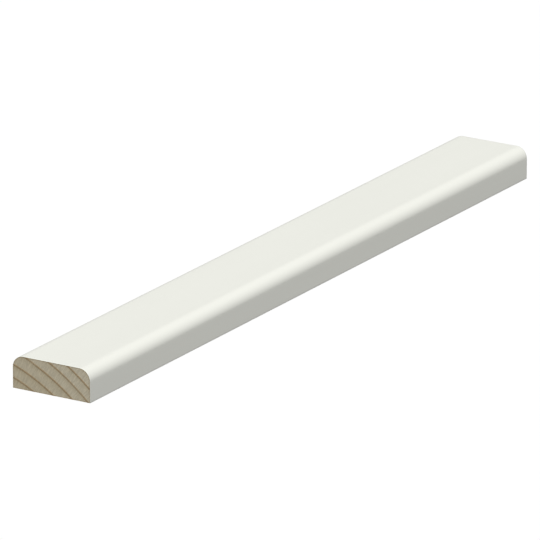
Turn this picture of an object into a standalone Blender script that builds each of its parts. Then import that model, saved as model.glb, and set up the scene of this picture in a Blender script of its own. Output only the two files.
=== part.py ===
"""Cover strip: a cut length of flat softwood moulding with its two face edges rounded over.

The strip lies on its back. Its length runs along X, its width along Y and its thickness up Z, and the
origin is the middle of the back. The face, both round edges and both long sides are painted; the sawn
ends and the back are bare pine. Sizes are in metres.
"""

import math

import bmesh
import bpy
from mathutils import Matrix

# The stock section, and the length that this piece is cut to
STRIP_LENGTH = 0.198
STRIP_WIDTH = 0.021
STRIP_THICKNESS = 0.008
FACE_EDGE_RADIUS = 0.0029

# Flat facets that each quarter round is divided into
ROUND_SEGMENTS = 24
SHARP_ANGLE = math.radians(30)

# Finishes: linear colour and roughness of each
PAINT_COLOUR = (0.79, 0.80, 0.73)
PAINT_ROUGHNESS = 0.42
PINE_COLOUR = (0.62, 0.53, 0.37)
PINE_ROUGHNESS = 0.75
PAINT_SLOT = 0
PINE_SLOT = 1


def clear_scene():
    for old in list(bpy.data.objects):
        bpy.data.objects.remove(old)


def new_collection(name):
    collection = bpy.data.collections.new(name)
    bpy.context.scene.collection.children.link(collection)
    return collection


def new_material(name, colour, roughness):
    material = bpy.data.materials.new(name)
    material.use_nodes = True
    shader = material.node_tree.nodes["Principled BSDF"]
    shader.inputs["Base Color"].default_value = (*colour, 1.0)
    shader.inputs["Roughness"].default_value = roughness
    shader.inputs["Metallic"].default_value = 0.0
    return material


def planed_blank():
    """The squared length of wood before its edges are rounded, standing on the XY plane."""
    blank = bmesh.new()
    size = Matrix.Diagonal((STRIP_LENGTH, STRIP_WIDTH, STRIP_THICKNESS, 1.0))
    lifted = Matrix.Translation((0.0, 0.0, STRIP_THICKNESS / 2))
    bmesh.ops.create_cube(blank, size=1.0, matrix=lifted @ size)
    return blank


def face_edges(blank):
    """The two long edges where the face meets the sides."""
    def in_face(vert):
        return vert.co.z > STRIP_THICKNESS / 2

    def along_length(edge):
        return abs(edge.verts[0].co.x - edge.verts[1].co.x) > STRIP_LENGTH / 2

    return [e for e in blank.edges if all(map(in_face, e.verts)) and along_length(e)]


def paint_faces(blank):
    """Gives the back and the ends the bare wood, and every other face the paint."""
    blank.normal_update()
    for face in blank.faces:
        is_end = abs(face.normal.x) > 0.5
        is_back = face.normal.z < -0.5
        face.material_index = PINE_SLOT if is_end or is_back else PAINT_SLOT


def make_cover_strip(collection):
    blank = planed_blank()
    bmesh.ops.bevel(
        blank,
        geom=face_edges(blank),
        offset=FACE_EDGE_RADIUS,
        offset_type="OFFSET",
        segments=ROUND_SEGMENTS,
        profile=0.5,
        affect="EDGES",
        clamp_overlap=True,
    )
    paint_faces(blank)
    mesh = bpy.data.meshes.new("cover_strip")
    blank.to_mesh(mesh)
    blank.free()
    mesh.materials.append(new_material("white_paint", PAINT_COLOUR, PAINT_ROUGHNESS))
    mesh.materials.append(new_material("bare_pine", PINE_COLOUR, PINE_ROUGHNESS))
    mesh.shade_smooth()
    mesh.set_sharp_from_angle(angle=SHARP_ANGLE)
    strip = bpy.data.objects.new("cover_strip", mesh)
    collection.objects.link(strip)
    return strip


def main():
    clear_scene()
    make_cover_strip(new_collection("cover_strip"))


main()
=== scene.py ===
"""Cover strip: a cut length of white-painted pine moulding, lying on its back on a plain white floor.

Two pieces make the strip. The pine has two sawn ends and a planed back, all bare, and growth rings that
run right through it. The film of paint covers the face, the two round edges and the two long sides.
Lengths are in metres.
"""

import math

import bmesh
import bpy
from mathutils import Matrix, Vector


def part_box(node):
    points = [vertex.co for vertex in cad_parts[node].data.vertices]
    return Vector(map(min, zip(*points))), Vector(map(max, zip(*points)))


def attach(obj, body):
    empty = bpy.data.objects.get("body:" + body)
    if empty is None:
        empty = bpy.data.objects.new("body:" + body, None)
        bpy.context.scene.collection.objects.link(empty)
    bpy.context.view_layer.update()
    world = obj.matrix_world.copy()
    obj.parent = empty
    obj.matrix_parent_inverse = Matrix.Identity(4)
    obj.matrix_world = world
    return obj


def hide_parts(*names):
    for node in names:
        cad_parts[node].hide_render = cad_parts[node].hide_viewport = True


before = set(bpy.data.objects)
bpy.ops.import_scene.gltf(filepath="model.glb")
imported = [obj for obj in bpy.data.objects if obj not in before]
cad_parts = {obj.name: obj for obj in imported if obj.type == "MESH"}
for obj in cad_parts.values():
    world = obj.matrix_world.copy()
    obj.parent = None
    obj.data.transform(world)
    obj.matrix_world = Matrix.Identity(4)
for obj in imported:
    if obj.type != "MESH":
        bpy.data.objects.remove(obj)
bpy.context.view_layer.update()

MM = 0.001
QUARTER_TURN = math.pi / 2
WHITE = (1.0, 1.0, 1.0)
BLACK = (0.0, 0.0, 0.0)

# The strip's outer size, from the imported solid
STRIP_LOW, STRIP_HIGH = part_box("cover_strip")
LENGTH, WIDTH, THICKNESS = STRIP_HIGH - STRIP_LOW
HALF_LENGTH = LENGTH / 2
HALF_WIDTH = WIDTH / 2

# A corner this close to the face lies in it. The first facet of a round edge drops six times as far.
IN_FACE = 0.001 * MM


def face_half_width():
    """Half the width of the flat face, which ends where the round edges begin."""
    corners = (v.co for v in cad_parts["cover_strip"].data.vertices)
    return max(abs(co.y) for co in corners if co.z > STRIP_HIGH.z - IN_FACE)


FACE_HALF = face_half_width()
EDGE_RADIUS = HALF_WIDTH - FACE_HALF

# Film of paint: its thickness, its gap to the wood, and how it rounds down at the saw cuts and along the
# foot of the sides. At a cut the length of the ease varies, and the sides ease less deeply than the face.
FILM = 0.07 * MM
FILM_GAP = 0.005 * MM
CUT_EASE_LENGTH = 0.50 * MM
CUT_EASE_SPREAD = 0.8
CUT_EASE_DEPTH = 0.048 * MM
CUT_EASE_ON_SIDES = 0.35
FOOT_EASE_HEIGHT = 0.28 * MM
FOOT_EASE_DEPTH = 0.036 * MM

# The film also sinks a little between the rings' raised grain, and in a slow wave. All this and the eases
# together stay thinner than the film, so its upper layer never meets its lower one.
RAISED_GRAIN = 0.003 * MM
FILM_WAVE = 0.006 * MM

# Film lattice: steps along the strip, and from the middle of the face to the foot of a side
FILM_STEPS_ALONG = 240
FACE_STEPS = 22
ROUND_STEPS = 24
SIDE_STEPS = 14

# Pine lattice: steps along, over half the flat top, over one round edge, and up
PINE_STEPS_ALONG = 100
TOP_STEPS = 44
CORNER_STEPS = 16
PINE_STEPS_UP = 44

# A lattice corner this close to the rim, as a share of the lattice, lies on it
ON_RIM = 0.0001

# Edges of a finished mesh that bend more than this stay sharp
SHARP_BEND = math.radians(40)

# Paint: its colour and how far clouds change it, its roughness and how far streaks change that, the tint
# of its sawn edge, and how close to a cut the film counts as that edge
PAINT_COLOUR = (0.765, 0.770, 0.712)
CLOUDINESS = 0.015
PAINT_ROUGHNESS = 0.36
PAINT_ROUGHNESS_SPREAD = 0.10
SAWN_PAINT = (0.84, 0.80, 0.72)
CUT_SKIN = 0.01 * MM

# Relief on the paint: its slight orange peel, the planing felt through it, and nibs of dust, whose radius
# is a share of their spacing
PEEL_HEIGHT = 0.0045 * MM
STREAK_HEIGHT = 0.0030 * MM
NIB_HEIGHT = 0.02 * MM
NIB_RADIUS = 0.03

# Growth rings: the pith lies outside the strip, beyond its hidden long side and below its back, and leans
# a little along the strip. The rings that show at the near end are measured, and the ones beyond them
# keep their mean step. Each ring wavers slightly.
PITH_Y = 24.86 * MM
PITH_Z = -36.41 * MM
PITH_LEAN_Y = 0.012
PITH_LEAN_Z = -0.016
RINGS_SHOWN = (41.50 * MM, 44.40 * MM, 47.49 * MM, 50.35 * MM, 53.04 * MM)
MIDDLE_RING = RINGS_SHOWN[2]
RING_STEP = (RINGS_SHOWN[-1] - RINGS_SHOWN[0]) / (len(RINGS_SHOWN) - 1)
RINGS_BEYOND = 3
RING_WAVER = 0.10 * MM

# Under that side's round edge the rings swell outwards a little
SWELL_Y = 6.9 * MM
SWELL_Z = 8.0 * MM
SWELL_REACH = 3.4 * MM
SWELL_DEPTH = 0.18 * MM

# The dark latewood line that closes each ring: where it starts, is full, begins to fade and ends, from
# the pith outwards, and the slow browning of the wood that leads up to it
LATE_START = -0.28 * MM
LATE_FULL = 0.02 * MM
LATE_FADE = 0.10 * MM
LATE_END = 0.44 * MM
BROWNING_START = -1.50 * MM
BROWNING_FULL = -0.20 * MM
BROWNING_END = 0.65 * MM

# How strongly a dark line shows at its faintest and strongest. One pattern settles it for every year: a
# year reads it one stride on from the year before. Then the length of its blotches along and across.
LINE_FAINTEST = 0.80
LINE_STRONGEST = 1.10
YEAR_STRIDE = 7.3
YEAR_OFFSET = 0.4
LINE_GRAIN_ALONG = 60 * MM
LINE_GRAIN_ACROSS = 4 * MM

# Wood on a sawn end: the colour of pale wood, of browned wood and of the dark lines, how far the browning
# varies, and what the innermost and the outermost ring shown and the rows of fibres do to the colour
EARLYWOOD = (0.590, 0.532, 0.402)
BROWNED = (0.555, 0.487, 0.345)
LATEWOOD = (0.375, 0.270, 0.150)
BROWNING_SPREAD = 0.6
INNER_TINT = (0.943, 0.922, 0.866)
OUTER_TINT = (1.026, 1.031, 1.032)
FIBRE_DARKEST = 0.86
FIBRE_LIGHTEST = 1.12

# The planed back is lighter. A sawn end has painted shade, a darker rim just inside the paint and along its
# foot, where the rim lies a little further out.
PLANED_TINT = (1.12, 1.07, 0.98)
RIM_SHADE_TINT = (0.86, 0.81, 0.74)
RIM_SHADE_WIDTH = 0.45 * MM
FOOT_SHADE_SHIFT = 0.04 * MM

# Roughness of bare wood, and how far the fibres change it
BARE_ROUGHNESS = 0.695
BARE_ROUGHNESS_SPREAD = 0.15

# Resin canals: their radius as a share of their spacing, and how much darker and deeper they are
CANAL_RADIUS = 0.12
CANAL_SHADE = 0.16
CANAL_DEPTH = 0.02 * MM

# Relief on the wood: how deep soft wood lies behind the dark lines, in the mesh, and the finer relief of
# fibres, dark lines, saw marks and the planer's knives
END_RECESS = 0.03 * MM
BACK_RECESS = 0.02 * MM
FIBRE_HEIGHT = 0.02 * MM
LATEWOOD_HEIGHT = 0.012 * MM
SAW_MARK_HEIGHT = 0.018 * MM
KNIFE_MARK_HEIGHT = 0.0012 * MM

# The saw's centre, seen from an end, the width of its marks and how fast they change along the strip, and
# the step between two cuts of the planer's knives
SAW_Y = -60 * MM
SAW_Z = -110 * MM
SAW_MARK_WIDTH = 0.22 * MM
SAW_MARK_ALONG = 1 * MM
KNIFE_STEP = 1.6 * MM

# The wood looks sawn up to the first of these depths behind a cut, and no longer at the second. In the
# same way the spray on the back reaches up the sides, where the film hides the wood.
SAWN_DEPTH = 0.10 * MM
SAWN_DEPTH_END = 0.16 * MM
SPRAY_RISE = 0.05 * MM
SPRAY_RISE_END = 0.10 * MM

# Spray on the margins of the back: how far it creeps in on average, how far that varies, how far its mist
# scatters, its roughness, and where it starts and is full, measured from its border into the spray
CREEP = 0.70 * MM
CREEP_SPREAD = 1.9 * MM
MIST = 0.7 * MM
SPRAY_ROUGHNESS = 0.46
SPRAY_START = -0.05 * MM
SPRAY_FULL = 0.12 * MM

# Patterns: how long one blotch is along the strip, across it and up
RAGGED_GRAIN = (1.0 * MM, 0.6 * MM, 0.6 * MM)
WAVE_GRAIN = (45 * MM, 5 * MM, 5 * MM)
CLOUD_GRAIN = (60 * MM, 9 * MM, 9 * MM)
STREAK_GRAIN = (25 * MM, 0.5 * MM, 0.5 * MM)
PEEL_GRAIN = (1.3 * MM, 1.1 * MM, 1.1 * MM)
NIB_SPACING = (7 * MM, 7 * MM, 7 * MM)
WAVER_GRAIN = (70 * MM, 7 * MM, 7 * MM)
WARMTH_GRAIN = (50 * MM, 5 * MM, 5 * MM)
CREEP_GRAIN = (9 * MM, 1.5 * MM, 1.5 * MM)
MIST_GRAIN = (0.25 * MM, 0.18 * MM, 0.18 * MM)

# Patterns that follow the rings: how long one blotch is along the strip, round the pith and out from it
FIBRE_GRAIN = (14 * MM, 0.26 * MM, 1.9 * MM)
CANAL_SPACING = (25 * MM, 1.2 * MM, 1.2 * MM)

# A smooth noise hardly ever leaves this range
NOISE_LOW = 0.25
NOISE_HIGH = 0.75

# Camera: the photo's long lens, held without roll, and the pixel and the depth of the strip's near corner
PHOTO_SIZE = 540
SENSOR = 36.0
FOCAL_PIXELS = 9073.0
CAMERA_YAW = math.radians(31.635)
CAMERA_PITCH = math.radians(18.239)
NEAR_CORNER_PIXEL = (90.20, 403.42)
NEAR_CORNER_DEPTH = 2.0640

# Light: the way towards each softbox, and how much light it throws on a surface square to it, where 1
# shows a pure white surface as white. The softboxes stand so far off that both ends get the same light.
SOFTBOX_DISTANCE = 100.0
KEY_TOWARD = (-0.370, -0.362, 0.860)
KEY_SIZE = 60.0
KEY_STRENGTH = 1.295
FILL_TOWARD = (0.45, 0.87, 0.20)
FILL_SIZE = 37.5
FILL_STRENGTH = 0.24
ROOM_LIGHT = 0.20

# Floor: it lies just under the strip and glows a touch brighter than white
FLOOR_SIZE = 12.0
FLOOR_DROP = 0.02 * MM
FLOOR_GLOW = 1.01


class Wiring:
    """Adds nodes to a tree and joins them. An input may be a number, a vector or another node's output."""

    def __init__(self, tree):
        self.tree = tree

    def node(self, kind, inputs=None, **settings):
        node = self.tree.nodes.new(kind)
        for name, value in settings.items():
            setattr(node, name, value)
        for key, value in (inputs or {}).items():
            self.feed(node.inputs[key], value)
        return node

    def feed(self, socket, value):
        if isinstance(value, bpy.types.NodeSocket):
            self.tree.links.new(value, socket)
        else:
            socket.default_value = value

    def math(self, operation, *values):
        return self.node("ShaderNodeMath", dict(enumerate(values)), operation=operation).outputs[0]

    def add(self, *values):
        total = values[0]
        for value in values[1:]:
            total = self.math("ADD", total, value)
        return total

    def sub(self, a, b):
        return self.math("SUBTRACT", a, b)

    def mul(self, *values):
        product = values[0]
        for value in values[1:]:
            product = self.math("MULTIPLY", product, value)
        return product

    def scaled(self, value, gain, offset):
        return self.math("MULTIPLY_ADD", value, gain, offset)

    def share(self, value, start, end):
        """Goes evenly from 0 to 1 as value goes from start to end."""
        inputs = {"Value": value, "From Min": start, "From Max": end}
        return self.node("ShaderNodeMapRange", inputs).outputs[0]

    def ease(self, value, start, end, low=0.0, high=1.0):
        """Goes smoothly from low to high as value goes from start to end."""
        inputs = {"Value": value, "From Min": start, "From Max": end, "To Min": low, "To Max": high}
        return self.node("ShaderNodeMapRange", inputs, interpolation_type="SMOOTHSTEP").outputs[0]

    def vector(self, x, y, z):
        return self.node("ShaderNodeCombineXYZ", {"X": x, "Y": y, "Z": z}).outputs[0]

    def split(self, vector):
        return self.node("ShaderNodeSeparateXYZ", {"Vector": vector}).outputs

    def noise(self, place, detail=2.0, roughness=0.5):
        """A smooth random value, about 0.5 on average."""
        inputs = {"Vector": place, "Scale": 1.0, "Detail": detail, "Roughness": roughness}
        return self.node("ShaderNodeTexNoise", inputs).outputs[0]

    def about(self, noise, middle, spread):
        """A noise turned into a value that varies about middle, over a range of spread."""
        return self.scaled(noise, spread, middle - spread / 2)

    def spread(self, noise, low, high):
        """A noise turned into a value that goes all the way from low to high."""
        return self.ease(noise, NOISE_LOW, NOISE_HIGH, low, high)

    def dots(self, place, radius):
        """1 in the middle of each of many scattered dots, one to a cell, and 0 outside them."""
        near = self.node("ShaderNodeTexVoronoi", {"Vector": place, "Scale": 1.0}).outputs["Distance"]
        return self.ease(near, 0.0, radius, 1.0, 0.0)

    def mix(self, share, first, second):
        """A colour that goes from first to second."""
        inputs = {"Factor": share, "A": first, "B": second}
        return self.node("ShaderNodeMix", inputs, data_type="RGBA").outputs["Result"]

    def tinted(self, colour, factor):
        return self.node("ShaderNodeVectorMath", {0: colour, 1: factor}, operation="MULTIPLY").outputs[0]


def stretched(w, place, grain, seed=0.0):
    """Coordinates for a pattern whose blotches have the given size along each axis."""
    x, y, z = place
    x_size, y_size, z_size = grain
    return w.vector(
        w.scaled(x, 1 / x_size, seed),
        w.mul(y, 1 / y_size),
        w.mul(z, 1 / z_size),
    )


def distance(w, across, up):
    return w.math("SQRT", w.add(w.mul(across, across), w.mul(up, up)))


def ring_radii():
    """The radius of every ring that can reach the strip, from the innermost out."""
    inner = [RINGS_SHOWN[0] - RING_STEP * n for n in range(RINGS_BEYOND, 0, -1)]
    outer = [RINGS_SHOWN[-1] + RING_STEP * n for n in range(1, RINGS_BEYOND + 1)]
    return [*inner, *RINGS_SHOWN, *outer]


def ring_year(w, radius):
    """Whole numbers fall on the rings' dark lines, and the rest of each year's growth lies between."""
    radii = ring_radii()
    low, high, last = radii[0], radii[-1], len(radii) - 1
    curve_node = w.node("ShaderNodeFloatCurve", {"Value": w.share(radius, low, high)})
    curve = curve_node.mapping.curves[0]
    for number, ring in enumerate(radii[1:-1], start=1):
        curve.points.new((ring - low) / (high - low), number / last)
    curve_node.mapping.update()
    return w.mul(curve_node.outputs[0], float(last))


def growth(w, place):
    """The tree at a place in the wood: the distance from the pith, the way round it, and the year."""
    x, y, z = place
    from_near = w.add(x, HALF_LENGTH)
    across = w.sub(y, w.scaled(from_near, PITH_LEAN_Y, PITH_Y))
    up = w.sub(z, w.scaled(from_near, PITH_LEAN_Z, PITH_Z))
    radius = distance(w, across, up)
    around = w.math("ARCTAN2", across, up)
    waver = w.noise(stretched(w, place, WAVER_GRAIN, seed=3.1), detail=1.0)
    swell = w.ease(distance(w, w.sub(y, SWELL_Y), w.sub(z, SWELL_Z)), 0.0, SWELL_REACH, SWELL_DEPTH, 0.0)
    radius = w.sub(w.scaled(w.sub(waver, 0.5), RING_WAVER, radius), swell)
    return radius, around, ring_year(w, radius)


def from_ring(w, year):
    """How far a place is from the nearest ring's dark line: below 0 is towards the pith."""
    return w.mul(w.sub(w.math("FRACT", w.add(year, 0.5)), 0.5), RING_STEP)


def latewood(w, year):
    """1 on the dark line of each ring and 0 away from it."""
    place = from_ring(w, year)
    inner = w.ease(place, LATE_START, LATE_FULL)
    outer = w.ease(place, LATE_FADE, LATE_END, 1.0, 0.0)
    return w.mul(inner, outer)


def browning(w, year):
    """Grows from 0 to 1 over the last half of each year's growth, and stops past the dark line."""
    place = from_ring(w, year)
    before = w.ease(place, BROWNING_START, BROWNING_FULL)
    after = w.ease(place, 0.0, BROWNING_END, 1.0, 0.0)
    return w.mul(before, after)


def line_strength(w, place, year):
    """Some years close with a darker line than others, and no line is quite even."""
    x, y, _ = place
    whole_year = w.math("FLOOR", w.add(year, 0.5))
    pattern = w.vector(
        w.scaled(whole_year, YEAR_STRIDE, YEAR_OFFSET),
        w.mul(x, 1 / LINE_GRAIN_ALONG),
        w.mul(y, 1 / LINE_GRAIN_ACROSS),
    )
    return w.spread(w.noise(pattern, detail=1.0), LINE_FAINTEST, LINE_STRONGEST)


def along_rings(w, place, radius, around, grain):
    """Coordinates for a pattern that follows the rings, with blotches of the given size."""
    x_size, around_size, out_size = grain
    return w.vector(
        w.mul(place[0], 1 / x_size),
        w.mul(around, MIDDLE_RING / around_size),
        w.mul(radius, 1 / out_size),
    )


def fibre(w, place, radius, around):
    """Rows of fibres: thin streaks that run along the strip and out from the pith."""
    return w.noise(along_rings(w, place, radius, around, FIBRE_GRAIN), detail=2.0, roughness=0.6)


def inside_outline(w, place):
    """How deep a place lies under the strip's painted outline: the face, a round edge or a side."""
    over = w.sub(w.math("ABSOLUTE", place[1]), FACE_HALF)
    above = w.sub(place[2], THICKNESS - EDGE_RADIUS)
    round_part = distance(w, w.math("MAXIMUM", over, 0.0), w.math("MAXIMUM", above, 0.0))
    flat_part = w.math("MINIMUM", w.math("MAXIMUM", over, above), 0.0)
    return w.sub(EDGE_RADIUS, w.add(round_part, flat_part))


def new_geometry_tree(name, lengths, counts):
    """An empty tree whose inputs are the given lengths and counts and a material."""
    tree = bpy.data.node_groups.new(name, "GeometryNodeTree")
    for label in lengths:
        tree.interface.new_socket(name=label, in_out="INPUT", socket_type="NodeSocketFloat")
    for label in counts:
        tree.interface.new_socket(name=label, in_out="INPUT", socket_type="NodeSocketInt")
    tree.interface.new_socket(name="Material", in_out="INPUT", socket_type="NodeSocketMaterial")
    tree.interface.new_socket(name="Geometry", in_out="OUTPUT", socket_type="NodeSocketGeometry")
    return tree


def lattice(w, steps_along, steps_across, steps_up):
    """A block of vertices from -1 to 1 along and across and from 0 to 1 up, with each one's place in it."""
    inputs = {
        "Size": (2.0, 2.0, 1.0),
        "Vertices X": w.add(steps_along, 1),
        "Vertices Y": w.add(steps_across, 1),
        "Vertices Z": w.add(steps_up, 1),
    }
    block = w.node("GeometryNodeMeshCube", inputs).outputs[0]
    u, v, level = w.split(w.node("GeometryNodeInputPosition").outputs[0])
    return block, u, v, w.add(level, 0.5)


def finish_tree(w, mesh, position, material):
    """Moves the mesh's vertices to their places and gives it its material."""
    moved = w.node("GeometryNodeSetPosition", {"Geometry": mesh, "Position": position}).outputs[0]
    realized = w.node("GeometryNodeRealizeInstances", {"Geometry": moved}).outputs[0]
    painted = w.node("GeometryNodeSetMaterial", {"Geometry": realized, "Material": material}).outputs[0]
    w.node("NodeGroupOutput", {"Geometry": painted})


def build_piece(name, tree, values):
    """The plain mesh that a tree makes with these values, as a new object at the origin."""
    carrier = bpy.data.objects.new(name + "_carrier", bpy.data.meshes.new(name + "_carrier"))
    bpy.context.scene.collection.objects.link(carrier)
    modifier = carrier.modifiers.new("Build", "NODES")
    modifier.node_group = tree
    for item in tree.interface.items_tree:
        if item.in_out == "INPUT":
            modifier[item.identifier] = values[item.name]
    evaluated = carrier.evaluated_get(bpy.context.evaluated_depsgraph_get())
    mesh = bpy.data.meshes.new_from_object(evaluated)
    bpy.data.objects.remove(carrier)
    mesh.name = name
    mesh.shade_smooth()
    mesh.set_sharp_from_angle(angle=SHARP_BEND)
    piece = bpy.data.objects.new(name, mesh)
    bpy.context.scene.collection.objects.link(piece)
    return piece


def film_tree():
    """A sheet bent over the strip's outline. Its lower layer lies on the wood and its upper one is seen."""
    lengths = (
        "Length",
        "Face half width",
        "Edge radius",
        "Thickness",
        "Film",
        "Cut ease length",
        "Cut ease depth",
        "Foot ease height",
        "Foot ease depth",
        "Raised grain",
        "Wave",
    )
    counts = ("Steps along", "Face steps", "Round steps", "Side steps")
    tree = new_geometry_tree("paint_film", lengths, counts)
    w = Wiring(tree)
    given = w.node("NodeGroupInput").outputs
    face_end = given["Face steps"]
    round_end = w.add(face_end, given["Round steps"])
    side_end = w.add(round_end, given["Side steps"])
    sheet, u, v, layer = lattice(w, given["Steps along"], w.mul(side_end, 2), 1)

    # Along the strip the steps close up towards the cuts, and down each side towards the foot
    half_length = w.mul(given["Length"], 0.5)
    along = w.mul(half_length, w.math("SINE", w.mul(u, QUARTER_TURN)))
    hand = w.math("SIGN", v)
    step = w.mul(w.math("ABSOLUTE", v), side_end)
    flat = w.mul(given["Face half width"], w.share(step, 0.0, face_end))
    turn = w.mul(w.share(step, face_end, round_end), QUARTER_TURN)
    foot_share = w.sub(1.0, w.share(step, round_end, side_end))
    side_top = w.sub(given["Thickness"], given["Edge radius"])
    side_height = w.mul(side_top, foot_share, foot_share)
    outward, upward = w.math("SINE", turn), w.math("COSINE", turn)
    out = w.math("MULTIPLY_ADD", given["Edge radius"], outward, flat)
    up = w.math("MULTIPLY_ADD", given["Edge radius"], upward, side_height)
    place = (along, w.mul(hand, out), up)

    # The upper layer sinks at the cuts, along the foot and unevenly all over
    to_cut = w.sub(half_length, w.math("ABSOLUTE", along))
    ragged = w.noise(stretched(w, place, RAGGED_GRAIN, seed=5.0), detail=1.0)
    ease_length = w.mul(given["Cut ease length"], w.about(ragged, 1.0, CUT_EASE_SPREAD))
    cut_lack = w.sub(1.0, w.share(to_cut, 0.0, ease_length))
    cut_depth = w.mul(given["Cut ease depth"], w.scaled(upward, 1 - CUT_EASE_ON_SIDES, CUT_EASE_ON_SIDES))
    cut_ease = w.mul(cut_depth, cut_lack, cut_lack)
    foot_lack = w.sub(1.0, w.share(up, 0.0, given["Foot ease height"]))
    foot_ease = w.mul(given["Foot ease depth"], foot_lack, foot_lack)
    wave = w.noise(stretched(w, place, WAVE_GRAIN, seed=9.0), detail=1.0)
    hollow = w.sub(1.0, latewood(w, growth(w, place)[2]))
    uneven = w.add(w.mul(wave, given["Wave"]), w.mul(hollow, given["Raised grain"]))
    sunk = w.mul(w.add(cut_ease, foot_ease, uneven), layer)
    inset = w.add(sunk, w.mul(w.sub(1.0, layer), given["Film"]))

    position = w.vector(
        along,
        w.mul(hand, w.sub(out, w.mul(inset, outward))),
        w.sub(up, w.mul(inset, upward)),
    )
    finish_tree(w, sheet, position, given["Material"])
    return tree


def pine_tree():
    """A block pressed to the strip's section, with the grain in relief on its ends and back."""
    lengths = ("Length", "Face half width", "Edge radius", "Thickness", "End recess", "Back recess")
    counts = ("Steps along", "Top steps", "Corner steps", "Steps up")
    tree = new_geometry_tree("pine", lengths, counts)
    w = Wiring(tree)
    given = w.node("NodeGroupInput").outputs
    half_steps = w.add(given["Top steps"], given["Corner steps"])
    block, u, v, level = lattice(w, given["Steps along"], w.mul(half_steps, 2), given["Steps up"])

    along = w.mul(u, given["Length"], 0.5)
    step = w.mul(w.math("ABSOLUTE", v), half_steps)
    flat = w.mul(given["Face half width"], w.share(step, 0.0, given["Top steps"]))
    turn = w.mul(w.share(step, given["Top steps"], half_steps), QUARTER_TURN)
    out = w.math("MULTIPLY_ADD", given["Edge radius"], w.math("SINE", turn), flat)
    side_top = w.sub(given["Thickness"], given["Edge radius"])
    top = w.math("MULTIPLY_ADD", given["Edge radius"], w.math("COSINE", turn), side_top)
    y = w.mul(w.math("SIGN", v), out)
    z = w.mul(level, top)

    # Soft wood and the gaps between rows of fibres lie a little deeper on the ends and the back
    place = (along, y, z)
    radius, around, year = growth(w, place)
    soft = w.sub(1.0, latewood(w, year))
    hollow = w.mul(w.add(fibre(w, place, radius, around), soft), 0.5)
    at_end = w.math("GREATER_THAN", w.math("ABSOLUTE", u), 1 - ON_RIM)
    on_back = w.math("LESS_THAN", level, ON_RIM)
    x = w.sub(along, w.mul(w.math("SIGN", u), at_end, given["End recess"], hollow))
    z = w.add(z, w.mul(on_back, given["Back recess"], hollow))
    finish_tree(w, block, w.vector(x, y, z), given["Material"])
    return tree


def new_material(name):
    """A new material with its wiring, its shader and the place of each point on the piece."""
    material = bpy.data.materials.new(name)
    material.use_nodes = True
    w = Wiring(material.node_tree)
    shader = material.node_tree.nodes["Principled BSDF"]
    place = w.split(w.node("ShaderNodeTexCoord").outputs["Object"])
    return material, w, shader, place


def dress(w, shader, colour, roughness, height):
    """Wires a colour, a roughness and a height in metres to the shader."""
    bump = w.node("ShaderNodeBump", {"Height": height, "Strength": 1.0, "Distance": 1.0})
    w.feed(shader.inputs["Base Color"], colour)
    w.feed(shader.inputs["Roughness"], roughness)
    w.feed(shader.inputs["Normal"], bump.outputs[0])


def colour(rgb, gain=1.0):
    return (*(channel * gain for channel in rgb), 1.0)


def paint_material():
    """Satin white paint: a faint cloudiness and ripple, the planing just felt through it, and a few nibs
    of dust under the coat."""
    material, w, shader, place = new_material("white_satin_paint")
    cloud = w.noise(stretched(w, place, CLOUD_GRAIN, seed=5.0))
    coat = w.mix(cloud, colour(PAINT_COLOUR, 1 - CLOUDINESS), colour(PAINT_COLOUR, 1 + CLOUDINESS))
    at_cut = w.math("GREATER_THAN", w.math("ABSOLUTE", place[0]), HALF_LENGTH - CUT_SKIN)
    coat = w.tinted(coat, w.mix(at_cut, colour(WHITE), colour(SAWN_PAINT)))

    streak = w.noise(stretched(w, place, STREAK_GRAIN, seed=6.0), detail=3.0)
    peel = w.noise(stretched(w, place, PEEL_GRAIN), detail=1.0)
    nibs = w.dots(stretched(w, place, NIB_SPACING, seed=1.5), NIB_RADIUS)
    height = w.add(w.mul(peel, PEEL_HEIGHT), w.mul(streak, STREAK_HEIGHT), w.mul(nibs, NIB_HEIGHT))
    dress(w, shader, coat, w.about(streak, PAINT_ROUGHNESS, PAINT_ROUGHNESS_SPREAD), height)
    return material


def wood_colour(w, place, radius, around, year):
    """Pale earlywood that browns towards each dark line, cooler and lighter in the outer rings, with
    streaks of fibre and small resin canals."""
    outer = w.share(radius, RINGS_SHOWN[0], RINGS_SHOWN[-1])
    warm = w.noise(stretched(w, place, WARMTH_GRAIN, seed=4.0))
    brown = w.mul(browning(w, year), w.about(warm, 1.0, BROWNING_SPREAD))
    pale = w.mix(brown, colour(EARLYWOOD), colour(BROWNED))
    pale = w.tinted(pale, w.mix(outer, colour(INNER_TINT), colour(OUTER_TINT)))
    dark = w.mul(latewood(w, year), line_strength(w, place, year))
    wood = w.mix(dark, pale, colour(LATEWOOD))
    rows = fibre(w, place, radius, around)
    wood = w.tinted(wood, w.spread(rows, FIBRE_DARKEST, FIBRE_LIGHTEST))
    canals = w.dots(along_rings(w, place, radius, around, CANAL_SPACING), CANAL_RADIUS)
    return w.tinted(wood, w.scaled(canals, -CANAL_SHADE, 1.0)), rows, canals


def spray_on_back(w, place):
    """Where paint has crept from the sides onto the margins of the back, in an uneven, misty line."""
    _, y, z = place
    margin = w.sub(HALF_WIDTH, w.math("ABSOLUTE", y))
    creep = w.noise(stretched(w, place, CREEP_GRAIN, seed=8.0), detail=3.0)
    reach = w.about(creep, CREEP, CREEP_SPREAD)
    mist = w.noise(stretched(w, place, MIST_GRAIN, seed=2.7), detail=1.0)
    edge = w.add(margin, w.about(mist, 0.0, MIST))
    covered = w.ease(w.sub(reach, edge), SPRAY_START, SPRAY_FULL)
    return w.mul(covered, w.ease(z, SPRAY_RISE, SPRAY_RISE_END, 1.0, 0.0))


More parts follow.
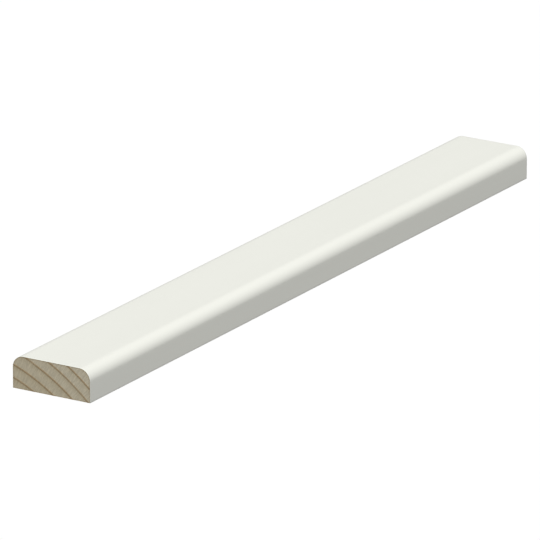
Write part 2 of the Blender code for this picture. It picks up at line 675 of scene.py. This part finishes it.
def pine_material():
    """Bare pine. The sawn ends drink in more light than the planed back, and carry fine saw marks and
    painted shade, a darker rim under the paint and along the foot. The back has the faint ripple of the
    planer's knives."""
    material, w, shader, place = new_material("bare_pine")
    x, y, z = place
    radius, around, year = growth(w, place)
    wood, rows, canals = wood_colour(w, place, radius, around, year)

    at_end = w.ease(w.math("ABSOLUTE", x), HALF_LENGTH - SAWN_DEPTH_END, HALF_LENGTH - SAWN_DEPTH)
    # Painted shade: the sawn end darkens in a rim just inside the paint and along its foot
    depth = w.math("MINIMUM", w.sub(inside_outline(w, place), FILM), w.add(z, FOOT_SHADE_SHIFT))
    painted_rim_shade = w.ease(depth, 0.0, RIM_SHADE_WIDTH, 1.0, 0.0)
    end_wood = w.tinted(wood, w.mix(painted_rim_shade, colour(WHITE), colour(RIM_SHADE_TINT)))
    back_wood = w.tinted(wood, PLANED_TINT)
    sprayed = w.mul(spray_on_back(w, place), w.sub(1.0, at_end))
    surface = w.mix(sprayed, w.mix(at_end, back_wood, end_wood), colour(PAINT_COLOUR))
    bare = w.about(rows, BARE_ROUGHNESS, BARE_ROUGHNESS_SPREAD)
    roughness = w.math("MULTIPLY_ADD", sprayed, w.sub(SPRAY_ROUGHNESS, bare), bare)

    from_saw = distance(w, w.sub(y, SAW_Y), w.sub(z, SAW_Z))
    saw_marks = w.noise(w.vector(w.mul(from_saw, 1 / SAW_MARK_WIDTH), w.mul(x, 1 / SAW_MARK_ALONG), 0.0))
    knife_marks = w.math("SINE", w.mul(x, math.tau / KNIFE_STEP))
    height = w.add(
        w.mul(rows, FIBRE_HEIGHT),
        w.mul(latewood(w, year), LATEWOOD_HEIGHT),
        w.mul(canals, -CANAL_DEPTH),
        w.mul(at_end, saw_marks, SAW_MARK_HEIGHT),
        w.mul(w.sub(1.0, at_end), knife_marks, KNIFE_MARK_HEIGHT),
    )
    dress(w, shader, surface, roughness, height)
    return material


def make_paint_film():
    values = {
        "Length": LENGTH,
        "Face half width": FACE_HALF,
        "Edge radius": EDGE_RADIUS,
        "Thickness": THICKNESS,
        "Film": FILM,
        "Cut ease length": CUT_EASE_LENGTH,
        "Cut ease depth": CUT_EASE_DEPTH,
        "Foot ease height": FOOT_EASE_HEIGHT,
        "Foot ease depth": FOOT_EASE_DEPTH,
        "Raised grain": RAISED_GRAIN,
        "Wave": FILM_WAVE,
        "Steps along": FILM_STEPS_ALONG,
        "Face steps": FACE_STEPS,
        "Round steps": ROUND_STEPS,
        "Side steps": SIDE_STEPS,
        "Material": paint_material(),
    }
    return build_piece("paint_film", film_tree(), values)


def make_pine():
    values = {
        "Length": LENGTH,
        "Face half width": FACE_HALF,
        "Edge radius": EDGE_RADIUS - FILM - FILM_GAP,
        "Thickness": THICKNESS - FILM - FILM_GAP,
        "End recess": END_RECESS,
        "Back recess": BACK_RECESS,
        "Steps along": PINE_STEPS_ALONG,
        "Top steps": TOP_STEPS,
        "Corner steps": CORNER_STEPS,
        "Steps up": PINE_STEPS_UP,
        "Material": pine_material(),
    }
    return build_piece("pine", pine_tree(), values)


def make_camera():
    """The photo's view, worked out from the pixel and the depth of the strip's near front corner."""
    level = Vector((math.cos(CAMERA_YAW), math.sin(CAMERA_YAW), 0.0))
    forward = level * math.cos(CAMERA_PITCH) - Vector((0.0, 0.0, math.sin(CAMERA_PITCH)))
    right = Vector((level.y, -level.x, 0.0))
    up = right.cross(forward)
    offset_x = (NEAR_CORNER_PIXEL[0] - PHOTO_SIZE / 2) / FOCAL_PIXELS * NEAR_CORNER_DEPTH
    offset_y = (PHOTO_SIZE / 2 - NEAR_CORNER_PIXEL[1]) / FOCAL_PIXELS * NEAR_CORNER_DEPTH
    eye = STRIP_LOW - right * offset_x - up * offset_y - forward * NEAR_CORNER_DEPTH

    data = bpy.data.cameras.new("camera")
    data.sensor_width = SENSOR
    data.lens = FOCAL_PIXELS / PHOTO_SIZE * SENSOR
    camera = bpy.data.objects.new("camera", data)
    turn = Matrix((right, up, -forward)).transposed().to_4x4()
    camera.matrix_world = Matrix.Translation(eye) @ turn
    bpy.context.scene.collection.objects.link(camera)
    bpy.context.scene.camera = camera


def make_floor():
    """A plain white light table. It shows no shadow, as in the photo, and its glow doesn't reach the
    strip, which the photo lights from above alone."""
    grid = bmesh.new()
    bmesh.ops.create_grid(grid, size=FLOOR_SIZE / 2, matrix=Matrix.Translation((0.0, 0.0, -FLOOR_DROP)))
    mesh = bpy.data.meshes.new("floor")
    grid.to_mesh(mesh)
    grid.free()
    floor = bpy.data.objects.new("floor", mesh)
    bpy.context.scene.collection.objects.link(floor)
    material = bpy.data.materials.new("studio_floor")
    material.use_nodes = True
    shader = material.node_tree.nodes["Principled BSDF"]
    shader.inputs["Base Color"].default_value = colour(BLACK)
    shader.inputs["Specular IOR Level"].default_value = 0.0
    shader.inputs["Emission Color"].default_value = colour(WHITE)
    shader.inputs["Emission Strength"].default_value = FLOOR_GLOW
    mesh.materials.append(material)
    floor.visible_diffuse = False
    floor.visible_glossy = False


def make_softbox(name, toward, size, strength):
    """A square light that faces the strip from far off and stays out of the picture."""
    direction = Vector(toward).normalized()
    data = bpy.data.lights.new(name, "AREA")
    data.shape = "SQUARE"
    data.size = size
    data.energy = strength * (math.pi * SOFTBOX_DISTANCE) ** 2
    light = bpy.data.objects.new(name, data)
    facing = direction.to_track_quat("Z", "Y").to_matrix().to_4x4()
    light.matrix_world = Matrix.Translation(direction * SOFTBOX_DISTANCE) @ facing
    light.visible_camera = False
    bpy.context.scene.collection.objects.link(light)


def make_lights():
    """A large key high above the near corner, a weak low fill behind the strip, and the room's own light."""
    make_softbox("key_softbox", KEY_TOWARD, KEY_SIZE, KEY_STRENGTH)
    make_softbox("back_softbox", FILL_TOWARD, FILL_SIZE, FILL_STRENGTH)
    world = bpy.data.worlds.new("studio")
    bpy.context.scene.world = world
    world.use_nodes = True
    background = world.node_tree.nodes["Background"]
    background.inputs["Color"].default_value = colour(WHITE)
    background.inputs["Strength"].default_value = ROOM_LIGHT
    bpy.context.scene.view_settings.view_transform = "Standard"


make_camera()
paint_film = make_paint_film()
pine = make_pine()
for piece, finish in ((paint_film, "white_paint"), (pine, "bare_pine")):
    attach(piece, "root")
    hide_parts("cover_strip")
make_floor()
make_lights()
